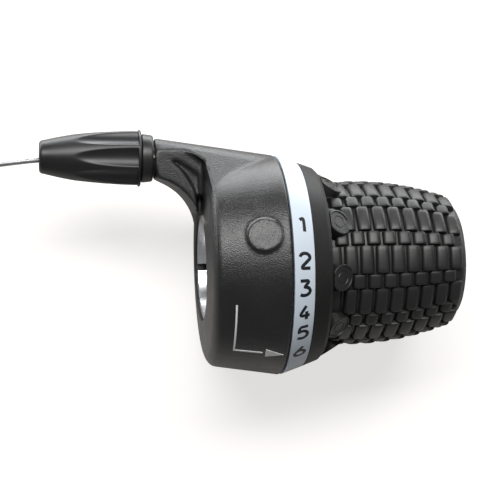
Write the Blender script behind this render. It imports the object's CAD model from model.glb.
"""Looks of a twist grip gear shifter, laid out as an add-on around the fixed frame."""

import math

import bpy
import numpy as np
from bpy.props import FloatProperty, FloatVectorProperty, IntProperty, PointerProperty
from mathutils import Matrix, Vector


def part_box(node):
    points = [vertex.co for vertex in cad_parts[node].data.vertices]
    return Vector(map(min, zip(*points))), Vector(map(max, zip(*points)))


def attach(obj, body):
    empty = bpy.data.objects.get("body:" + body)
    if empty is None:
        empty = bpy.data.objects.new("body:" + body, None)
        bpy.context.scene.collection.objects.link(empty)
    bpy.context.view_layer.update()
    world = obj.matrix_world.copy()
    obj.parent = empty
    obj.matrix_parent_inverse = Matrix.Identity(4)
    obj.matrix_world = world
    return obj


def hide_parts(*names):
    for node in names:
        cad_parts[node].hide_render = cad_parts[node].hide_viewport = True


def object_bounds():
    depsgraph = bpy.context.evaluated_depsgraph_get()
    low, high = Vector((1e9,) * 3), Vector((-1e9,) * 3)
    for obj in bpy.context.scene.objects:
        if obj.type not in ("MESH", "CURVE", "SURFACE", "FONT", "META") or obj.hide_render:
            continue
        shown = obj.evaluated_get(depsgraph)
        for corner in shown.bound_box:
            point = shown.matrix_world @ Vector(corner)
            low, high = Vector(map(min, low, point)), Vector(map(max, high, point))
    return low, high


bl_info = {
    "name": "Twist Grip Shifter",
    "version": (1, 0, 0),
    "blender": (4, 5, 0),
    "location": "View3D > Sidebar > Shifter",
    "description": "Builds the finished pieces of a twist grip gear shifter around its frame",
    "category": "Object",
}

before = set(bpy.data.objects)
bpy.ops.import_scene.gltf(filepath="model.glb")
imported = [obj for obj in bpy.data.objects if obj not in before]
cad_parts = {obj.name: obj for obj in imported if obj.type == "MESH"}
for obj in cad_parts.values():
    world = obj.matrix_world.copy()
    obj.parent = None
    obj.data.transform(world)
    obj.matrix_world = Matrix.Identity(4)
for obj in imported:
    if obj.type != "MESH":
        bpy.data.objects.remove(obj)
cad_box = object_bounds()

MM = 0.001
TURN = 2 * math.pi


# Camera, in the frame's metres
CAMERA_PLACE = (-0.0364, 0.0, 0.2975)
CAMERA_YAW = -0.1443
CAMERA_PITCH = 0.0121
CAMERA_ROLL = -0.0288
CAMERA_FOCUS_PX = 1282.9
IMAGE_PX = 500
SENSOR_MM = 36

# Free wire: its route in millimetres, from the adjuster's mouth to its coil
WIRE_ROUTE = [(-41.3, 25.3, 3), (-44, 25.1, 3), (-47, 24.8, 2.9), (-50, 24.5, 2.5), (-53, 24.3, 1.6),
              (-56, 24.1, 0.2), (-59, 23.8, -1.8), (-62, 23.5, -4.2), (-65, 23.2, -6.8),
              (-68, 22.8, -9.5), (-71, 22.4, -12.2), (-74, 22, -14.7), (-77, 21.6, -16.9),
              (-80, 21.3, -18.6), (-83, 21.1, -19.8), (-86, 21, -20.5)]
WIRE_SIDES = 10
COIL_POINTS = 24
COIL_RAMP = 0.2
COIL_LEAD = 2


class ShifterSizes(bpy.types.PropertyGroup):
    """Sizes of the finish that a user would change."""
    rib_width: FloatProperty(name="Rib width", description="Width of a grip rib along the bar",
                             default=3.15 * MM, unit="LENGTH", precision=5)
    rib_crown: FloatProperty(name="Rib crown", description="Rounding of a rib's long edges",
                             default=1.05 * MM, unit="LENGTH", precision=5)
    stud_rim: FloatProperty(name="Stud rim", description="Width of the raised rim round a stud's face",
                            default=0.32 * MM, unit="LENGTH", precision=5)
    skin_voxel: FloatProperty(name="Skin detail", description="Voxel size of the moulded housing's skin",
                              default=0.36 * MM, unit="LENGTH", precision=5)
    stroke: FloatProperty(name="Stroke", description="Width of a numeral's stroke",
                          default=0.76 * MM, unit="LENGTH", precision=5)
    knob_steps: IntProperty(name="Knob steps", description="Faces round the fluted knob", default=192)
    wire_diameter: FloatProperty(name="Wire diameter", description="Diameter of the inner wire",
                                 default=1.2 * MM, unit="LENGTH", precision=5)


class ShifterColours(bpy.types.PropertyGroup):
    """Main colours of the finishes."""
    plastic: FloatVectorProperty(name="Plastic", description="Moulded housing plastic", subtype="COLOR",
                                 default=(0.0085, 0.0087, 0.0092), min=0, max=1)
    rubber: FloatVectorProperty(name="Rubber", description="Rubber of the grip", subtype="COLOR",
                                default=(0.0095, 0.0095, 0.0094), min=0, max=1)
    ring: FloatVectorProperty(name="Ring", description="Pale plastic of the number ring", subtype="COLOR",
                              default=(0.56, 0.63, 0.71), min=0, max=1)
    ink: FloatVectorProperty(name="Ink", description="Ink of the numerals", subtype="COLOR",
                             default=(0.006, 0.007, 0.011), min=0, max=1)
    floor: FloatVectorProperty(name="Floor", description="Pale floor", subtype="COLOR",
                               default=(0.52, 0.505, 0.49), min=0, max=1)


def sizes():
    return bpy.context.scene.shifter_sizes


def colours():
    return bpy.context.scene.shifter_colours


class Signal:
    """A shader socket that takes part in Python expressions, each adding its Math node."""

    def __init__(self, finish, socket):
        self.finish = finish
        self.socket = socket

    def maths(self, operation, *values):
        inputs = {k: v for k, v in enumerate(values)}
        return self.finish.node("ShaderNodeMath", {"operation": operation}, inputs).out(0)

    def __add__(self, other):
        return self.maths("ADD", self, other)

    def __radd__(self, other):
        return self.maths("ADD", other, self)

    def __sub__(self, other):
        return self.maths("SUBTRACT", self, other)

    def __rsub__(self, other):
        return self.maths("SUBTRACT", other, self)

    def __mul__(self, other):
        return self.maths("MULTIPLY", self, other)

    def __rmul__(self, other):
        return self.maths("MULTIPLY", other, self)

    def __truediv__(self, other):
        return self.maths("DIVIDE", self, other)

    def __pow__(self, other):
        return self.maths("POWER", self, other)

    def sine(self):
        return self.maths("SINE", self)

    def above(self, edge):
        return self.maths("GREATER_THAN", self, edge)

    def highest(self, other):
        return self.maths("MAXIMUM", self, other)


class Part:
    """A shader node with its outputs at hand."""

    def __init__(self, finish, node):
        self.finish = finish
        self.node = node

    def out(self, name):
        return Signal(self.finish, self.node.outputs[name])


class Finish:
    """A material and the few ways in which its nodes are made."""

    def __init__(self, name):
        self.material = bpy.data.materials.new(name)
        self.material.use_nodes = True
        self.tree = self.material.node_tree
        self.tree.nodes.clear()
        self.shader = self.node("ShaderNodeBsdfPrincipled")
        target = self.node("ShaderNodeOutputMaterial")
        self.tree.links.new(self.shader.node.outputs[0], target.node.inputs[0])

    def node(self, kind, settings=None, inputs=None):
        made = self.tree.nodes.new(kind)
        for key, value in (settings or {}).items():
            if key == "stops":
                for k, (place, colour) in enumerate(value):
                    stop = made.color_ramp.elements[k] if k < 2 else made.color_ramp.elements.new(place)
                    stop.position = place
                    stop.color = colour
            else:
                setattr(made, key, value)
        for key, value in (inputs or {}).items():
            if isinstance(value, Signal):
                self.tree.links.new(value.socket, made.inputs[key])
            else:
                made.inputs[key].default_value = value
        return Part(self, made)

    def shade(self, inputs):
        for key, value in inputs.items():
            if isinstance(value, Signal):
                self.tree.links.new(value.socket, self.shader.node.inputs[key])
            else:
                self.shader.node.inputs[key].default_value = value

    def place(self):
        return self.node("ShaderNodeTexCoord").out("Object")

    def stretched(self, vector, scale):
        mapping = {"Vector": vector, "Scale": scale}
        return self.node("ShaderNodeMapping", {"vector_type": "POINT"}, mapping).out("Vector")

    def noise(self, vector, scale, detail=2.0, rough=0.5):
        inputs = {"Vector": vector, "Scale": scale, "Detail": detail, "Roughness": rough}
        return self.node("ShaderNodeTexNoise", {"noise_dimensions": "3D"}, inputs).out(0)

    def grains(self, vector, scale):
        inputs = {"Vector": vector, "Scale": scale}
        return self.node("ShaderNodeTexVoronoi", {"feature": "F1"}, inputs).out("Distance")

    def axes(self, vector):
        split = self.node("ShaderNodeSeparateXYZ", None, {"Vector": vector})
        return split.out("X"), split.out("Y"), split.out("Z")

    def blend(self, share, first, second):
        made = self.node("ShaderNodeMix", {"data_type": "RGBA"}, {"Factor": share})
        for index, value in ((6, first), (7, second)):
            if isinstance(value, Signal):
                self.tree.links.new(value.socket, made.node.inputs[index])
            else:
                made.node.inputs[index].default_value = (*value[:3], 1)
        return Signal(self, made.node.outputs[2])

    def ramp(self, value, low, high, start=0.0, end=1.0):
        inputs = {"Value": value, "From Min": start, "From Max": end, "To Min": low, "To Max": high}
        return self.node("ShaderNodeMapRange", {"clamp": True}, inputs).out(0)

    def bump(self, height, strength, distance, after=None):
        inputs = {"Height": height, "Strength": strength, "Distance": distance}
        if after is not None:
            inputs["Normal"] = after
        return self.node("ShaderNodeBump", None, inputs).out(0)


SPARK_GRAIN = 0.24
SPARK_DEPTH = 0.08


def moulded_plastic(name, colour, rough, grain_mm, depth_mm, tone=0.35, specks=0.0, gloss=0.4):
    """Satin moulded plastic with a fine spark-eroded grain."""
    finish = Finish(name)
    place = finish.place()
    fine = finish.noise(place, 1 / (grain_mm * MM), 3.0, 0.6)
    broad = finish.noise(place, 1 / (9 * MM), 2.0, 0.5)
    dark = tuple(c * (1 - tone) for c in colour)
    light = tuple(min(1, c * (1 + tone)) for c in colour)
    base = finish.blend(finish.ramp(fine * 0.6 + broad * 0.4, 0, 1, 0.35, 0.65), dark, light)
    facets = finish.noise(place, 1 / (SPARK_GRAIN * MM), 1.0, 0.4)
    finish.shade({
        "Base Color": base,
        "Roughness": finish.ramp(broad, rough - 0.04, rough + 0.05, 0.3, 0.7),
        "Normal": finish.bump(facets, specks, SPARK_DEPTH * MM, finish.bump(fine, 0.5, depth_mm * MM)),
        "Specular IOR Level": gloss,
    })
    return finish.material


def worked_metal(name, colour, rough, along=(1, 1, 1), depth_mm=0.01, line_mm=0.2):
    """Metal with fine drawn or turned lines."""
    finish = Finish(name)
    place = finish.place()
    lines = finish.noise(finish.stretched(place, along), 1 / (line_mm * MM), 3.0, 0.6)
    broad = finish.noise(place, 1 / (5 * MM), 2.0, 0.5)
    dark = tuple(c * 0.82 for c in colour)
    finish.shade({
        "Base Color": finish.blend(finish.ramp(lines, 0, 1, 0.35, 0.65), dark, colour),
        "Metallic": 1.0,
        "Roughness": finish.ramp(lines * 0.5 + broad * 0.5, rough - 0.08, rough + 0.1, 0.3, 0.7),
        "Normal": finish.bump(lines, 0.4, depth_mm * MM),
    })
    return finish.material


def grip_rubber():
    """Dull rubber with a fine grain and slightly polished high spots."""
    finish = Finish("grip_rubber")
    colour = colours().rubber
    place = finish.place()
    fine = finish.noise(place, 1 / (0.22 * MM), 3.0, 0.6)
    broad = finish.noise(place, 1 / (6 * MM), 2.0, 0.5)
    dark = tuple(c * 0.75 for c in colour)
    light = tuple(c * 1.3 for c in colour)
    finish.shade({
        "Base Color": finish.blend(finish.ramp(broad * 0.5 + fine * 0.5, 0, 1, 0.35, 0.65), dark, light),
        "Roughness": finish.ramp(broad, 0.4, 0.5, 0.3, 0.7),
        "Normal": finish.bump(fine, 0.5, 0.02 * MM),
        "Specular IOR Level": 0.6,
    })
    return finish.material


def ring_plastic():
    """Smooth pale plastic with a faint blue cast."""
    finish = Finish("ring_plastic")
    place = finish.place()
    broad = finish.noise(place, 1 / (4 * MM), 2.0, 0.5)
    fine = finish.noise(place, 1 / (0.3 * MM), 2.0, 0.5)
    colour = colours().ring
    finish.shade({
        "Base Color": finish.blend(broad, tuple(c * 0.96 for c in colour), tuple(min(1, c * 1.03) for c in colour)),
        "Roughness": finish.ramp(fine, 0.3, 0.38, 0.3, 0.7),
        "Normal": finish.bump(fine, 0.2, 0.004 * MM),
    })
    return finish.material


def stranded_wire():
    """Drawn steel strands laid round the wire, read from the wire's own map."""
    finish = Finish("stranded_wire")
    uv = finish.node("ShaderNodeTexCoord").out("UV")
    along, around, _ = finish.axes(uv)
    strands = ((along * 520.0 + around) * (TURN * 6)).sine()
    height = finish.ramp(strands, 0, 1, -1, 1)
    finish.shade({
        "Base Color": finish.blend(height, (0.20, 0.20, 0.21), (0.62, 0.62, 0.64)),
        "Metallic": 1.0,
        "Roughness": finish.ramp(height, 0.5, 0.3, 0, 1),
        "Normal": finish.bump(height, 0.6, 0.06 * MM),
    })
    return finish.material


FLOOR_GLOW = 0.68
MIRROR_SHARE = 0.1
WORLD_LEVEL = 0.14


def floor_white():
    """Pale floor that stays white to the camera and keeps the object's shadow."""
    finish = Finish("floor_white")
    path = finish.node("ShaderNodeLightPath")
    mirrored = path.out("Is Glossy Ray").highest(path.out("Is Transmission Ray"))
    seen = path.out("Is Camera Ray").highest(mirrored * MIRROR_SHARE)
    finish.shade({
        "Base Color": (*colours().floor, 1),
        "Roughness": 0.9,
        "Specular IOR Level": 0.1,
        "Emission Color": finish.blend(seen, (0, 0, 0), (1, 0.985, 0.97)),
        "Emission Strength": FLOOR_GLOW,
    })
    return finish.material


def free_hands():
    """Leaves object mode with nothing selected."""
    if bpy.context.object and bpy.context.object.mode != "OBJECT":
        bpy.ops.object.mode_set(mode="OBJECT")
    bpy.ops.object.select_all(action="DESELECT")


def take(piece):
    free_hands()
    piece.select_set(True)
    bpy.context.view_layer.objects.active = piece
    return piece


def edit(piece):
    take(piece)
    bpy.ops.object.mode_set(mode="EDIT")
    bpy.ops.mesh.select_mode(type="VERT")
    bpy.ops.mesh.select_all(action="SELECT")
    return piece


def done(piece):
    bpy.ops.object.mode_set(mode="OBJECT")
    return piece


def settled(piece):
    """Brings the object to the origin, unturned and unscaled, with its place in its mesh."""
    take(piece)
    bpy.ops.object.transform_apply(location=True, rotation=True, scale=True)
    return piece


def finished(piece, material, slot, body, *nodes, angle=35):
    """Shading, material, slot and body of a finished piece, and the CAD nodes that it stands for."""
    take(piece)
    bpy.ops.object.shade_smooth_by_angle(angle=math.radians(angle))
    piece.data.materials.clear()
    piece.data.materials.append(material)
    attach(piece, body)
    if nodes:
        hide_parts(*nodes)
    return piece


def modified(piece, kind, **settings):
    """Adds a modifier with its settings and applies it."""
    take(piece)
    modifier = piece.modifiers.new(kind.lower(), kind)
    for key, value in settings.items():
        setattr(modifier, key, value)
    bpy.ops.object.modifier_apply(modifier=modifier.name)
    return piece


def pick(piece, test):
    """Selects the faces whose centre and normal pass a test, in edit mode."""
    bpy.ops.mesh.select_all(action="DESELECT")
    bpy.ops.mesh.select_mode(type="FACE")
    bpy.ops.object.mode_set(mode="OBJECT")
    for face in piece.data.polygons:
        face.select = test(face.center, face.normal)
    bpy.ops.object.mode_set(mode="EDIT")


def pick_edges(piece, test):
    """Selects the edges whose two ends pass a test, in edit mode."""
    bpy.ops.mesh.select_all(action="DESELECT")
    bpy.ops.mesh.select_mode(type="EDGE")
    bpy.ops.object.mode_set(mode="OBJECT")
    spots = piece.data.vertices
    for edge in piece.data.edges:
        edge.select = test(spots[edge.vertices[0]].co, spots[edge.vertices[1]].co)
    bpy.ops.object.mode_set(mode="EDIT")


def turned(name, outline, steps=96):
    """Spins a closed outline of (x, radius) points in metres about the bar's axis."""
    free_hands()
    bpy.ops.mesh.primitive_plane_add(size=MM)
    piece = bpy.context.object
    piece.name = name
    edit(piece)
    bpy.ops.mesh.merge(type="CENTER")
    bpy.ops.transform.translate(value=(outline[0][0], 0, outline[0][1]))
    for (x0, r0), (x1, r1) in zip(outline, outline[1:] + outline[:1]):
        bpy.ops.mesh.extrude_region_move(TRANSFORM_OT_translate={"value": (x1 - x0, 0, r1 - r0)})
    bpy.ops.mesh.select_all(action="SELECT")
    bpy.ops.mesh.remove_doubles(threshold=0.001 * MM)
    bpy.ops.mesh.spin(steps=steps, angle=TURN, center=(0, 0, 0), axis=(1, 0, 0))
    bpy.ops.mesh.select_all(action="SELECT")
    bpy.ops.mesh.remove_doubles(threshold=0.001 * MM)
    bpy.ops.mesh.normals_make_consistent(inside=False)
    return done(piece)


def rounded_outline(points, radius, steps=3):
    """Rounds each corner of a closed outline by an arc-like curve of the given reach."""
    made = []
    count = len(points)
    for k, here in enumerate(points):
        spot = Vector(here)
        reach = []
        for other in (points[k - 1], points[(k + 1) % count]):
            way = Vector(other) - spot
            reach.append(spot + way.normalized() * min(radius, way.length * 0.45))
        for s in range(steps + 1):
            t = s / steps
            point = reach[0] * (1 - t) ** 2 + spot * 2 * t * (1 - t) + reach[1] * t ** 2
            made.append((point.x, point.y))
    return made


def copy_of(node, name):
    """A merged copy of a CAD node's mesh, as the start of its finished piece."""
    piece = bpy.data.objects.new(name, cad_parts[node].data.copy())
    bpy.context.scene.collection.objects.link(piece)
    edit(piece)
    bpy.ops.mesh.remove_doubles(threshold=0.001 * MM)
    return done(piece)


def joined(pieces, name):
    """Joins pieces into one object."""
    free_hands()
    for piece in pieces:
        piece.select_set(True)
    bpy.context.view_layer.objects.active = pieces[0]
    bpy.ops.object.join()
    pieces[0].name = name
    return pieces[0]


def cut_or_add(piece, tool, operation):
    """Cuts a tool out of a piece, or adds it, and removes the tool."""
    modified(piece, "BOOLEAN", operation=operation, solver="MANIFOLD", object=tool)
    bpy.data.objects.remove(tool)
    return piece


def clock_spot(x, clock, radius):
    """The point at a clock angle in radians from +Z towards -Y, at a radius from the bar's axis."""
    return Vector((x, -math.sin(clock) * radius, math.cos(clock) * radius))


def reshaped(piece, rule):
    """Moves every vertex of a piece by a rule on its place."""
    for vertex in piece.data.vertices:
        vertex.co = rule(vertex.co)
    piece.data.update()
    return piece


def section_spots(count, pitch):
    """The hexagonal places of a bundle's turns about its middle, row by row from the top, to and fro."""
    places = []
    span = range(-6, 7)
    for row in span:
        for column in span:
            x = (column + row / 2) * pitch
            y = row * pitch * math.sqrt(3) / 2 - pitch / math.sqrt(3)
            places.append((x, y))
    places.sort(key=lambda p: (round(math.hypot(*p), 7), math.atan2(p[1], p[0])))
    heights = sorted({round(p[1], 7) for p in places[:count]}, reverse=True)
    laid = []
    for k, height in enumerate(heights):
        row = sorted(p for p in places[:count] if round(p[1], 7) == height)
        laid += row[::-1] if k % 2 == 0 else row
    return laid


def coil_points():
    """The turns of the stowed wire, as one line of points inside the coil's solid, in metres."""
    low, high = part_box("wire_coil")
    middle = (low + high) / 2
    bundle = (high.z - low.z) / 2
    ring = (high.x - low.x) / 2 - bundle
    pitch = sizes().wire_diameter
    turns = 27
    places = section_spots(turns, pitch * 1.005)
    points = []
    first = math.pi / 2
    for k, (dx, dz) in enumerate(places):
        after = places[min(k + 1, turns - 1)]
        for s in range(COIL_POINTS):
            share = s / COIL_POINTS
            ramp = max(0, (share - 1 + COIL_RAMP) / COIL_RAMP)
            ease = ramp * ramp * (3 - 2 * ramp)
            out = ring + dx + (after[0] - dx) * ease
            rise = dz + (after[1] - dz) * ease
            angle = first + TURN * share
            points.append(middle + Vector((math.cos(angle) * out, math.sin(angle) * out, rise)))
    return points


def tube(name, points, radius, sides):
    """A round tube along a line of points, with its length and girth as its map."""
    count = len(points)
    path = np.array([tuple(p) for p in points])
    ahead = np.gradient(path, axis=0)
    ahead /= np.linalg.norm(ahead, axis=1)[:, None]
    side = np.zeros_like(path)
    side[0] = np.cross(ahead[0], (0.0, 1.0, 0.0))
    side[0] /= np.linalg.norm(side[0])
    for k in range(1, count):
        flat = side[k - 1] - ahead[k] * np.dot(side[k - 1], ahead[k])
        side[k] = flat / np.linalg.norm(flat)
    up = np.cross(ahead, side)
    turns = np.arange(sides) * TURN / sides
    rings = (path[:, None, :] + radius * (np.cos(turns)[None, :, None] * side[:, None, :]
                                          + np.sin(turns)[None, :, None] * up[:, None, :]))
    faces = [(k * sides + s, k * sides + (s + 1) % sides, (k + 1) * sides + (s + 1) % sides,
              (k + 1) * sides + s) for k in range(count - 1) for s in range(sides)]
    faces.append(tuple(range(sides - 1, -1, -1)))
    faces.append(tuple((count - 1) * sides + s for s in range(sides)))
    mesh = bpy.data.meshes.new(name)
    mesh.from_pydata(rings.reshape(-1, 3).tolist(), [], faces)
    steps = np.linalg.norm(np.diff(path, axis=0), axis=1)
    length = np.concatenate(([0], np.cumsum(steps)))
    chart = mesh.uv_layers.new(name="UVMap")
    for face in mesh.polygons:
        for loop, corner in zip(face.loop_indices, face.vertices):
            ring, spot = divmod(corner, sides)
            wrap = 1 if spot == 0 and len(face.vertices) == 4 and sides - 1 in [
                v % sides for v in face.vertices] else 0
            chart.data[loop].uv = (length[ring], spot / sides + wrap)
    piece = bpy.data.objects.new(name, mesh)
    bpy.context.scene.collection.objects.link(piece)
    edit(piece)
    bpy.ops.mesh.normals_make_consistent(inside=False)
    return done(piece)


class SHIFTER_OT_camera(bpy.types.Operator):
    """Place the camera at the photograph's viewing angle"""
    bl_idname = "shifter.camera"
    bl_label = "Camera"

    def execute(self, context):
        free_hands()
        bpy.ops.object.camera_add(location=CAMERA_PLACE)
        camera = bpy.context.object
        aim = (Matrix.Rotation(CAMERA_YAW, 3, "Y") @ Matrix.Rotation(CAMERA_PITCH, 3, "X")
               @ Matrix.Rotation(CAMERA_ROLL, 3, "Z"))
        camera.rotation_euler = aim.to_euler()
        camera.data.sensor_width = SENSOR_MM
        camera.data.lens = CAMERA_FOCUS_PX / IMAGE_PX * SENSOR_MM
        camera.data.clip_start = 1 * MM
        context.scene.camera = camera
        return {"FINISHED"}


class SHIFTER_OT_wire(bpy.types.Operator):
    """Lay the free inner wire and its stowed coil with a tie"""
    bl_idname = "shifter.wire"
    bl_label = "Wire and coil"

    def execute(self, context):
        diameter = sizes().wire_diameter
        route = [Vector(p) * MM for p in WIRE_ROUTE]
        line = route[:-COIL_LEAD] + coil_points()
        wire = tube("free_wire", line, diameter / 2, WIRE_SIDES)
        finished(wire, stranded_wire(), "wire_steel", "housing_body", "wire_tail", "wire_coil", angle=60)
        tie = copy_of("coil_tie", "wire_tie")
        modified(tie, "BEVEL", width=0.08 * MM, segments=2, limit_method="ANGLE")
        black = moulded_plastic("tie_plastic", (0.02, 0.02, 0.021), 0.4, 0.3, 0.01)
        finished(tie, black, "tie_plastic", "housing_body", "coil_tie")
        return {"FINISHED"}


class SHIFTER_OT_housing(bpy.types.Operator):
    """Make the moulded housing's skin, its hatch cover and the printed pointer"""
    bl_idname = "shifter.housing"
    bl_label = "Housing"

    def execute(self, context):
        plastic = moulded_plastic("housing_plastic", colours().plastic, 0.34, 0.3, 0.02, specks=1.0, gloss=0.6)
        shell = copy_of("housing", "housing_shell")
        modified(shell, "REMESH", mode="VOXEL", voxel_size=sizes().skin_voxel, adaptivity=0)
        modified(shell, "SMOOTH", factor=0.5, iterations=5)
        finished(shell, plastic, "housing_plastic", "housing_body", "housing", angle=180)
        hatch = copy_of("hatch_cover", "hatch_lid")
        modified(hatch, "REMESH", mode="VOXEL", voxel_size=0.2 * MM, adaptivity=0)
        modified(hatch, "SMOOTH", factor=0.5, iterations=4)
        finished(hatch, plastic, "housing_plastic", "housing_body", "hatch_cover", angle=180)
        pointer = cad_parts["pointer_print"]
        grey = moulded_plastic("print_grey", (0.72, 0.72, 0.73), 0.5, 0.2, 0.005, tone=0.08)
        dress(pointer, grey)
        return {"FINISHED"}


def dress(node, material):
    """Gives a CAD node its finish."""
    node.data.materials.clear()
    node.data.materials.append(material)


class SHIFTER_OT_metalwork(bpy.types.Operator):
    """Finish the clamp band, its screw and nut, and the small inner metal pieces"""
    bl_idname = "shifter.metalwork"
    bl_label = "Metalwork"

    def execute(self, context):
        steel = worked_metal("clamp_steel", (0.78, 0.79, 0.81), 0.3, along=(8, 1, 1), line_mm=0.5)
        band = copy_of("clamp_band", "clamp_strap")
        modified(band, "BEVEL", width=0.12 * MM, segments=2, limit_method="ANGLE")
        finished(band, steel, "clamp_steel", "housing_body", "clamp_band")
        dark = worked_metal("fastener_steel", (0.42, 0.42, 0.44), 0.36, line_mm=0.4)
        for node in ("clamp_screw", "clamp_nut", "plate_screws"):
            piece = copy_of(node, node + "_finished")
            modified(piece, "BEVEL", width=0.1 * MM, segments=2, limit_method="ANGLE")
            finished(piece, dark, "fastener_steel", "housing_body", node)
        spring = worked_metal("spring_steel", (0.6, 0.6, 0.62), 0.28, along=(1, 4, 4))
        for node in ("click_spring", "click_pin", "adjuster_spring"):
            dress(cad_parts[node], spring)
        dress(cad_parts["inner_wire"], worked_metal("wire_steel", (0.5, 0.5, 0.52), 0.4, line_mm=0.3))
        dress(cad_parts["cable_head"], spring)
        brass = worked_metal("brass", (0.17, 0.13, 0.075), 0.4, along=(6, 1, 1))
        dress(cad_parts["adjuster_bolt"], brass)
        return {"FINISHED"}


class SHIFTER_OT_inside(bpy.types.Operator):
    """Finish the inner plastic pieces"""
    bl_idname = "shifter.inside"
    bl_label = "Inner pieces"

    def execute(self, context):
        nylon = moulded_plastic("nylon", (0.62, 0.62, 0.58), 0.4, 0.4, 0.01, tone=0.06)
        for node in ("spool", "thrust_washer", "cable_guide", "click_ring"):
            dress(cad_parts[node], nylon)
        dress(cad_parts["retaining_plate"],
              moulded_plastic("inner_plastic", (0.05, 0.05, 0.052), 0.5, 0.4, 0.01))
        return {"FINISHED"}


class SHIFTER_OT_number_ring(bpy.types.Operator):
    """Make the pale number ring and its numerals"""
    bl_idname = "shifter.number_ring"
    bl_label = "Number ring"

    def execute(self, context):
        self.make_ring()
        self.make_numerals()
        return {"FINISHED"}

    def make_ring(self):
        low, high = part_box("number_ring")
        inner = 22.62 * MM
        outline = [(low.x, inner), (low.x, RING_BIG), (high.x, RING_SMALL), (high.x, inner)]
        ring = turned("number_band", rounded_outline(outline, 0.25 * MM), 192)
        finished(ring, ring_plastic(), "ring_plastic", "grip_body", "number_ring")

    def make_numerals(self):
        low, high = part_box("number_ring")
        middle = (low.x + high.x) / 2
        slope = (RING_SMALL - RING_BIG) / (high.x - low.x)
        digits = []
        for value, share in enumerate(GEAR_TURN_SHARES, start=1):
            clock = math.radians(POINTER_CLOCK - share * GEAR_TURN)
            digit = numeral(value)
            height = NUMERAL_THICK / sizes().stroke

            def on_ring(spot, clock=clock, height=height):
                x = middle + spot.x
                radius = RING_BIG + slope * (x - low.x) + spot.z * height
                return clock_spot(x, clock - spot.y / RING_MIDDLE, radius)

            digits.append(reshaped(digit, on_ring))
        ink = moulded_plastic("numeral_print", colours().ink, 0.45, 0.2, 0.004, tone=0.2)
        finished(joined(digits, "printed_numerals"), ink, "numeral_print", "grip_body", "numerals", angle=60)


RING_BIG = 25.6 * MM
RING_SMALL = 24 * MM
RING_MIDDLE = (RING_BIG + RING_SMALL) / 2
NUMERAL_THICK = 0.08 * MM
NUMERAL_HALF_W = 1.2 * MM
NUMERAL_HALF_H = 1.63 * MM
POINTER_CLOCK = 51.7
GEAR_TURN = 72
GEAR_TURN_SHARES = [1, 0.74, 0.548, 0.364, 0.197, 0]


def arc(centre, reach, start, end, steps=14):
    """Points on an ellipse from one angle to another, in shares of a numeral's half width and height."""
    return [(centre[0] + reach[0] * math.cos(math.radians(start + (end - start) * k / steps)),
             centre[1] + reach[1] * math.sin(math.radians(start + (end - start) * k / steps)))
            for k in range(steps + 1)]


def numeral_lines(value):
    """The pen lines of a numeral, in shares of its half width and half height."""
    if value == 1:
        return [[(-0.55, 0.62), (0.25, 1.0), (0.25, -1.0)]]
    if value == 2:
        return [arc((0, 0.45), (0.95, 0.55), 172, -28) + [(-0.95, -1.0), (1.0, -1.0)]]
    if value == 3:
        return [[(-0.95, 1.0), (0.85, 1.0), (-0.1, 0.17)] + arc((-0.1, -0.42), (1.05, 0.58), 88, -140)]
    if value == 4:
        return [[(0.3, 1.0), (-1.0, -0.42), (1.05, -0.42)], [(0.42, 0.2), (0.42, -1.0)]]
    if value == 5:
        return [[(0.9, 1.0), (-0.65, 1.0), (-0.8, 0.12)] + arc((-0.1, -0.36), (1.05, 0.64), 126, -142)]
    return [[(0.45, 1.0), (-0.75, -0.05)] + arc((0, -0.4), (0.98, 0.6), 150, -205, 22)]


def softened(points, passes=2):
    """Cuts a pen line's corners, keeping its two ends."""
    for _ in range(passes):
        made = [points[0]]
        for a, b in zip(points, points[1:]):
            made.append((a[0] * 0.8 + b[0] * 0.2, a[1] * 0.8 + b[1] * 0.2))
            made.append((a[0] * 0.2 + b[0] * 0.8, a[1] * 0.2 + b[1] * 0.8))
        points = made + [points[-1]]
    return points


def numeral(value):
    """A numeral's pen lines as round strokes in the XY plane about its middle."""
    strokes = []
    for line in numeral_lines(value):
        curve = bpy.data.curves.new("pen_line", "CURVE")
        curve.dimensions = "3D"
        curve.bevel_depth = sizes().stroke / 2
        curve.bevel_resolution = 3
        curve.use_fill_caps = True
        spline = curve.splines.new("POLY")
        points = softened(line)
        spline.points.add(len(points) - 1)
        for spot, (x, y) in zip(spline.points, points):
            spot.co = (x * NUMERAL_HALF_W, y * NUMERAL_HALF_H, 0, 1)
        stroke = bpy.data.objects.new("pen_line", curve)
        bpy.context.scene.collection.objects.link(stroke)
        take(stroke)
        bpy.ops.object.convert(target="MESH")
        stroke = edit(bpy.context.object)
        bpy.ops.mesh.remove_doubles(threshold=0.001 * MM)
        strokes.append(done(stroke))
    digit = strokes[0]
    for other in strokes[1:]:
        cut_or_add(digit, other, "UNION")
    return digit


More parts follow.
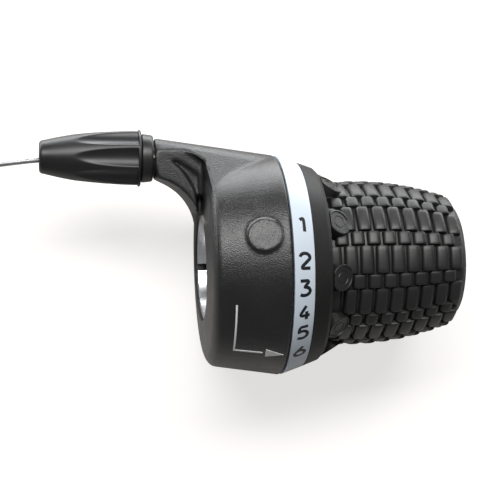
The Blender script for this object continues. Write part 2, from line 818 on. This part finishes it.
class SHIFTER_OT_grip(bpy.types.Operator):
    """Make the plain flange and the rubber sleeve with its ribs and studs"""
    bl_idname = "shifter.grip"
    bl_label = "Grip"

    def execute(self, context):
        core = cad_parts["grip_core"]
        dress(core, moulded_plastic("core_plastic", (0.012, 0.012, 0.0118), 0.5, 0.25, 0.02, specks=0.2, gloss=0.25))
        sleeve = self.make_base()
        ribs = self.make_ribs()
        studs = self.make_studs()
        cut_or_add(sleeve, ribs, "UNION")
        cut_or_add(sleeve, studs, "UNION")
        finished(sleeve, grip_rubber(), "grip_rubber", "grip_body", "grip_sleeve", angle=40)
        return {"FINISHED"}

    def make_base(self):
        low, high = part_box("grip_sleeve")
        stop = high.x - END_ROUND
        outline = [(low.x, SLEEVE_BORE)]
        for k in range(13):
            x = low.x + (stop - low.x) * k / 12
            outline.append((x, grip_envelope(x) - RIB_HEIGHT))
        edge = grip_envelope(stop) - RIB_HEIGHT - END_ROUND
        for k in range(1, 7):
            angle = math.pi / 2 * k / 6
            outline.append((stop + END_ROUND * math.sin(angle), edge + END_ROUND * math.cos(angle)))
        outline.append((high.x, SLEEVE_BORE))
        return turned("grip_rubber_sleeve", outline, 144)

    def make_ribs(self):
        low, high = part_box("grip_sleeve")
        pieces = []
        rows = ((RIB_FIRST, ROW_CENTRE, TALL_SPAN), (RIB_FIRST + RIB_PITCH / 2, ROW_CENTRE + ROW_SPAN / 2,
                                                     ROW_SPAN - TALL_SPAN))
        for first, centre, span in rows:
            block = self.make_block(math.radians(span - ROW_GAP))
            for k in range(RIB_COUNT):
                x = first + k * RIB_PITCH
                if x + sizes().rib_width / 2 > high.x - END_ROUND / 2:
                    continue
                for row in range(ROW_COUNT):
                    rib = block.copy()
                    rib.data = block.data.copy()
                    bpy.context.scene.collection.objects.link(rib)
                    clock = math.radians(centre + row * ROW_SPAN)
                    foot = grip_envelope(x) - RIB_HEIGHT

                    def on_sleeve(spot, x=x, clock=clock, foot=foot):
                        place = max(x + spot.x, low.x)
                        return clock_spot(place, clock + spot.y, foot + spot.z)

                    pieces.append(reshaped(rib, on_sleeve))
            bpy.data.objects.remove(block)
        return joined(pieces, "grip_ribs")

    def make_block(self, span):
        """One rib, flat: its width along X, its span in radians along Y and its height along Z."""
        free_hands()
        bpy.ops.mesh.primitive_cube_add(size=1)
        block = bpy.context.object
        bpy.ops.object.mode_set(mode="EDIT")
        root = 1.2 * MM
        tall = RIB_HEIGHT + root
        real_span = span * 18 * MM
        bpy.ops.transform.resize(value=(sizes().rib_width, real_span, tall))
        bpy.ops.transform.translate(value=(0, 0, tall / 2 - root))
        top = RIB_HEIGHT * 0.99
        pick_edges(block, lambda a, b: min(a.z, b.z) > top and abs(a.x - b.x) < 0.1 * MM)
        bpy.ops.mesh.bevel(offset=sizes().rib_crown, segments=4, profile=0.5)
        pick_edges(block, lambda a, b: abs(abs(a.y) - real_span / 2) < 0.001 * MM
                   and abs(a.y - b.y) < 0.001 * MM and max(a.z, b.z) > 0.02 * MM
                   and min(a.z, b.z) > -0.5 * root and not (abs(a.x - b.x) < 0.001 * MM))
        bpy.ops.mesh.bevel(offset=0.22 * MM, segments=2, profile=0.5)
        pick_edges(block, lambda a, b: abs(a.y - b.y) > real_span * 0.7)
        bpy.ops.mesh.subdivide(number_cuts=5)
        done(block)
        return reshaped(block, lambda c: Vector((c.x, c.y / (18 * MM), c.z)))

    def make_studs(self):
        free_hands()
        bpy.ops.mesh.primitive_cylinder_add(vertices=40, radius=STUD_RADIUS, depth=STUD_HEIGHT,
                                            location=(0, 0, STUD_HEIGHT / 2))
        stud = bpy.context.object
        settled(stud)
        edit(stud)
        pick(stud, lambda centre, normal: normal.z > 0.9)
        bpy.ops.mesh.inset(thickness=0.12 * MM, depth=0.1 * MM)
        bpy.ops.mesh.inset(thickness=sizes().stud_rim - 0.12 * MM, depth=0)
        bpy.ops.mesh.inset(thickness=0.12 * MM, depth=-0.22 * MM)
        bpy.ops.mesh.inset(thickness=0.9 * MM, depth=0)
        bpy.ops.mesh.inset(thickness=0.1 * MM, depth=-0.12 * MM)
        bpy.ops.mesh.inset(thickness=0.3 * MM, depth=0)
        bpy.ops.mesh.inset(thickness=0.1 * MM, depth=0.12 * MM)
        done(stud)
        stand = (Matrix.Translation((STUD_PLACE, 0, STUD_SEAT)) @ Matrix.Rotation(STUD_TILT, 4, "Y"))
        studs = []
        low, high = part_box("grip_sleeve")
        for k in range(STUD_COUNT):
            turn = math.radians(STUD_FIRST + 360 * k / STUD_COUNT)
            one = stud.copy()
            one.data = stud.data.copy()
            bpy.context.scene.collection.objects.link(one)
            one.data.transform(Matrix.Rotation(turn, 4, "X") @ stand)
            studs.append(one)
        bpy.data.objects.remove(stud)
        studs = joined(studs, "grip_studs")
        reach = GRIP_RADIUS + STUD_RADIUS
        beyond = [(low.x - reach, 0.1 * MM), (low.x - reach, reach), (low.x, reach), (low.x, 0.1 * MM)]
        return cut_or_add(studs, turned("stud_trim", beyond, 48), "DIFFERENCE")


SLEEVE_BORE = 13.02 * MM
CROWN_X = 31 * MM
GRIP_RADIUS = 19.3 * MM
GRIP_END_RADIUS = 15.6 * MM
LAST_X = 52.5 * MM
GRIP_SAG = (GRIP_RADIUS - GRIP_END_RADIUS) / (LAST_X - CROWN_X) ** 2
RIB_HEIGHT = 1.1 * MM
RIB_PITCH = 3.6 * MM
RIB_FIRST = 23.3 * MM
RIB_COUNT = 9
ROW_COUNT = 12
ROW_SPAN = 30
ROW_GAP = 1
TALL_SPAN = 19.7
ROW_CENTRE = -1.8
END_ROUND = 2.4 * MM
STUD_RADIUS = 3 * MM
STUD_HEIGHT = 2.7 * MM
STUD_PLACE = 23.2 * MM
STUD_SEAT = 18 * MM
STUD_TILT = math.radians(30)
STUD_FIRST = 9.4
STUD_COUNT = 10


def grip_envelope(x):
    """Radius over the ribs at a place along the bar."""
    return GRIP_RADIUS - GRIP_SAG * (x - CROWN_X) ** 2


class SHIFTER_OT_adjuster(bpy.types.Operator):
    """Make the fluted adjuster knob and its plain collar"""
    bl_idname = "shifter.adjuster"
    bl_label = "Adjuster"

    def execute(self, context):
        stand = (Matrix.Translation(ARM_END) @ Matrix.Rotation(-ARM_SPLAY, 4, "Z")
                 @ Matrix.Rotation(math.pi, 4, "Z"))
        knob = self.make_knob()
        knob.data.transform(stand)
        black = moulded_plastic("knob_plastic", (0.009, 0.0093, 0.010), 0.38, 0.3, 0.02, gloss=0.5)
        finished(knob, black, "knob_plastic", "adjuster_body", "adjuster_knob", angle=50)
        collar = self.make_collar()
        collar.data.transform(stand)
        finished(collar, black, "knob_plastic", "adjuster_body", "adjuster_barrel")
        return {"FINISHED"}

    def make_knob(self):
        stops = [0, 0.25, 0.5, FLUTE_RIM, FLUTE_RIM + 0.12, FLUTE_RIM + 0.3]
        stops += [1.6 + 0.6 * k for k in range(24)]
        stops += [16.8, 18.2, 19.6, 20.8, 21.9]
        outline = [(KNOB_START + s * MM, knob_outer(s * MM)) for s in stops]
        outline[0] = (KNOB_START, knob_outer(0) - 0.25 * MM)
        tip = knob_outer(21.9 * MM)
        for k in range(1, 5):
            angle = math.pi / 2 * k / 4
            outline.append((KNOB_START + KNOB_LENGTH - 1.0 * MM + 1.0 * MM * math.sin(angle),
                            tip - 0.8 * MM * (1 - math.cos(angle))))
        outline += [(KNOB_START + KNOB_LENGTH, SOCKET_RADIUS), (KNOB_START + KNOB_LENGTH - 7 * MM, SOCKET_RADIUS),
                    (KNOB_START + KNOB_LENGTH - 7 * MM, 0.95 * MM), (BARREL_END, 0.95 * MM),
                    (BARREL_END, BARREL_RADIUS), (KNOB_START, BARREL_RADIUS)]
        knob = turned("fluted_knob", outline, sizes().knob_steps)
        return reshaped(knob, fluted)

    def make_collar(self):
        start = 0.25 * MM
        end = KNOB_START - 0.1 * MM
        outline = rounded_outline([(start, 4.37 * MM), (start, 5.3 * MM), (end, 5.6 * MM),
                                   (end, BARREL_RADIUS - 0.02 * MM)], 0.6 * MM, 4)
        outline = [(start, 4.37 * MM)] + [p for p in outline if p[1] > 4.6 * MM]
        outline += [(end, 3.6 * MM), (13 * MM, 3.6 * MM), (13 * MM, 2.52 * MM), (1.3 * MM, 2.52 * MM),
                    (1.3 * MM, 4.37 * MM)]
        return turned("adjuster_collar", outline, 96)


ARM_END = Vector((-15.4, 25.2, 3)) * MM
ARM_SPLAY = math.radians(1.8)
KNOB_START = 3.05 * MM
KNOB_LENGTH = 22.9 * MM
KNOB_RADIUS = 6.5 * MM
KNOB_TIP = 3.6 * MM
BARREL_RADIUS = 3.62 * MM
BARREL_END = 13.05 * MM
SOCKET_RADIUS = 2.6 * MM
FLUTE_COUNT = 8
FLUTE_RADIUS = 3.4 * MM
FLUTE_DEPTH = 1.1 * MM
FLUTE_LENGTH = 14.7 * MM
FLUTE_RIM = 0.5
FLUTE_TURN = math.radians(3.3)
FLUTE_SOFT = 0.12 * MM


def knob_outer(along):
    """Radius of the knob's plain outside, a parabola along its length."""
    share = along / KNOB_LENGTH
    return KNOB_RADIUS - (KNOB_RADIUS - KNOB_TIP) * share * share


def fluted(spot):
    """Draws a point of the knob's outside in to the bottom of the nearest flute."""
    radius = math.hypot(spot.y, spot.z)
    along = spot.x - KNOB_START
    if radius < KNOB_TIP or along < FLUTE_RIM * MM + 0.05 * MM or along > FLUTE_LENGTH + 2 * MM:
        return spot
    angle = math.atan2(spot.y, spot.z) - FLUTE_TURN
    pitch = TURN / FLUTE_COUNT
    offset = (angle + pitch / 2) % pitch - pitch / 2
    start = KNOB_RADIUS - FLUTE_DEPTH + FLUTE_RADIUS
    end = knob_outer(FLUTE_LENGTH) + FLUTE_RADIUS
    far = start + (end - start) * along / FLUTE_LENGTH
    reach = FLUTE_RADIUS ** 2 - (far * math.sin(offset)) ** 2
    if reach <= 0:
        return spot
    bottom = far * math.cos(offset) - math.sqrt(reach)
    gap = bottom - radius
    soft = max(FLUTE_SOFT - abs(gap), 0) / FLUTE_SOFT
    new = min(bottom, radius) - soft * soft * FLUTE_SOFT / 4
    return Vector((spot.x, spot.y * new / radius, spot.z * new / radius))


class SHIFTER_OT_stage(bpy.types.Operator):
    """Make the plain pale floor and the soft studio light"""
    bl_idname = "shifter.stage"
    bl_label = "Floor and light"

    def execute(self, context):
        scene = context.scene
        scene.view_settings.view_transform = "Standard"
        free_hands()
        bpy.ops.mesh.primitive_plane_add(size=4, location=(0, 0, cad_box[0][2]))
        floor = settled(bpy.context.object)
        floor.name = "floor"
        floor.data.materials.append(floor_white())
        self.lamp("key", (-0.03, 0.285, 0.45), (0.60, 0.20), (0, 0, 0), 3.8, (1, 0.995, 0.985))
        card = cad_box[0][2] + 2 * MM
        self.lamp("card", (0.0, 0.18, card), (1.2, 0.22), (0, 0.18, 1), 5.0, (0.96, 0.98, 1))
        self.make_world(scene)
        return {"FINISHED"}

    def lamp(self, name, place, size, target, power, colour):
        free_hands()
        bpy.ops.object.light_add(type="AREA", location=place)
        lamp = bpy.context.object
        lamp.name = name
        lamp.data.shape = "RECTANGLE"
        lamp.data.size = size[0]
        lamp.data.size_y = size[1]
        lamp.data.energy = power
        lamp.data.color = colour
        aim = Vector(target) - Vector(place)
        lamp.rotation_euler = aim.to_track_quat("-Z", "Y").to_euler()

    def make_world(self, scene):
        world = bpy.data.worlds.new("studio")
        scene.world = world
        world.use_nodes = True
        nodes = world.node_tree.nodes
        links = world.node_tree.links
        background = nodes["Background"]
        background.inputs["Color"].default_value = (1, 1, 1, 1)
        path = nodes.new("ShaderNodeLightPath")
        mirrored = nodes.new("ShaderNodeMath")
        mirrored.operation = "MULTIPLY"
        mirrored.inputs[1].default_value = MIRROR_SHARE
        seen = nodes.new("ShaderNodeMath")
        seen.operation = "MAXIMUM"
        level = nodes.new("ShaderNodeMapRange")
        level.inputs["To Min"].default_value = WORLD_LEVEL
        links.new(path.outputs["Is Glossy Ray"], mirrored.inputs[0])
        links.new(path.outputs["Is Camera Ray"], seen.inputs[0])
        links.new(mirrored.outputs[0], seen.inputs[1])
        links.new(seen.outputs[0], level.inputs["Value"])
        links.new(level.outputs[0], background.inputs["Strength"])


class SHIFTER_PT_panel(bpy.types.Panel):
    """The shifter's pieces, in the order in which they are made"""
    bl_idname = "SHIFTER_PT_panel"
    bl_label = "Twist Grip Shifter"
    bl_space_type = "VIEW_3D"
    bl_region_type = "UI"
    bl_category = "Shifter"

    def draw(self, context):
        for group in (context.scene.shifter_sizes, context.scene.shifter_colours):
            for name in group.__annotations__:
                self.layout.prop(group, name)
        for operator in OPERATORS:
            self.layout.operator(operator.bl_idname)


OPERATORS = (SHIFTER_OT_camera, SHIFTER_OT_wire, SHIFTER_OT_housing, SHIFTER_OT_metalwork, SHIFTER_OT_inside,
             SHIFTER_OT_number_ring, SHIFTER_OT_grip, SHIFTER_OT_adjuster, SHIFTER_OT_stage)
CLASSES = (ShifterSizes, ShifterColours, *OPERATORS, SHIFTER_PT_panel)


def register():
    for item in CLASSES:
        bpy.utils.register_class(item)
    bpy.types.Scene.shifter_sizes = PointerProperty(type=ShifterSizes)
    bpy.types.Scene.shifter_colours = PointerProperty(type=ShifterColours)


def unregister():
    del bpy.types.Scene.shifter_colours
    del bpy.types.Scene.shifter_sizes
    for item in reversed(CLASSES):
        bpy.utils.unregister_class(item)


def main():
    register()
    bpy.ops.shifter.camera()
    bpy.ops.shifter.wire()
    bpy.ops.shifter.housing()
    bpy.ops.shifter.metalwork()
    bpy.ops.shifter.inside()
    bpy.ops.shifter.number_ring()
    bpy.ops.shifter.grip()
    bpy.ops.shifter.adjuster()
    bpy.ops.shifter.stage()


if __name__ == "__main__":
    main()
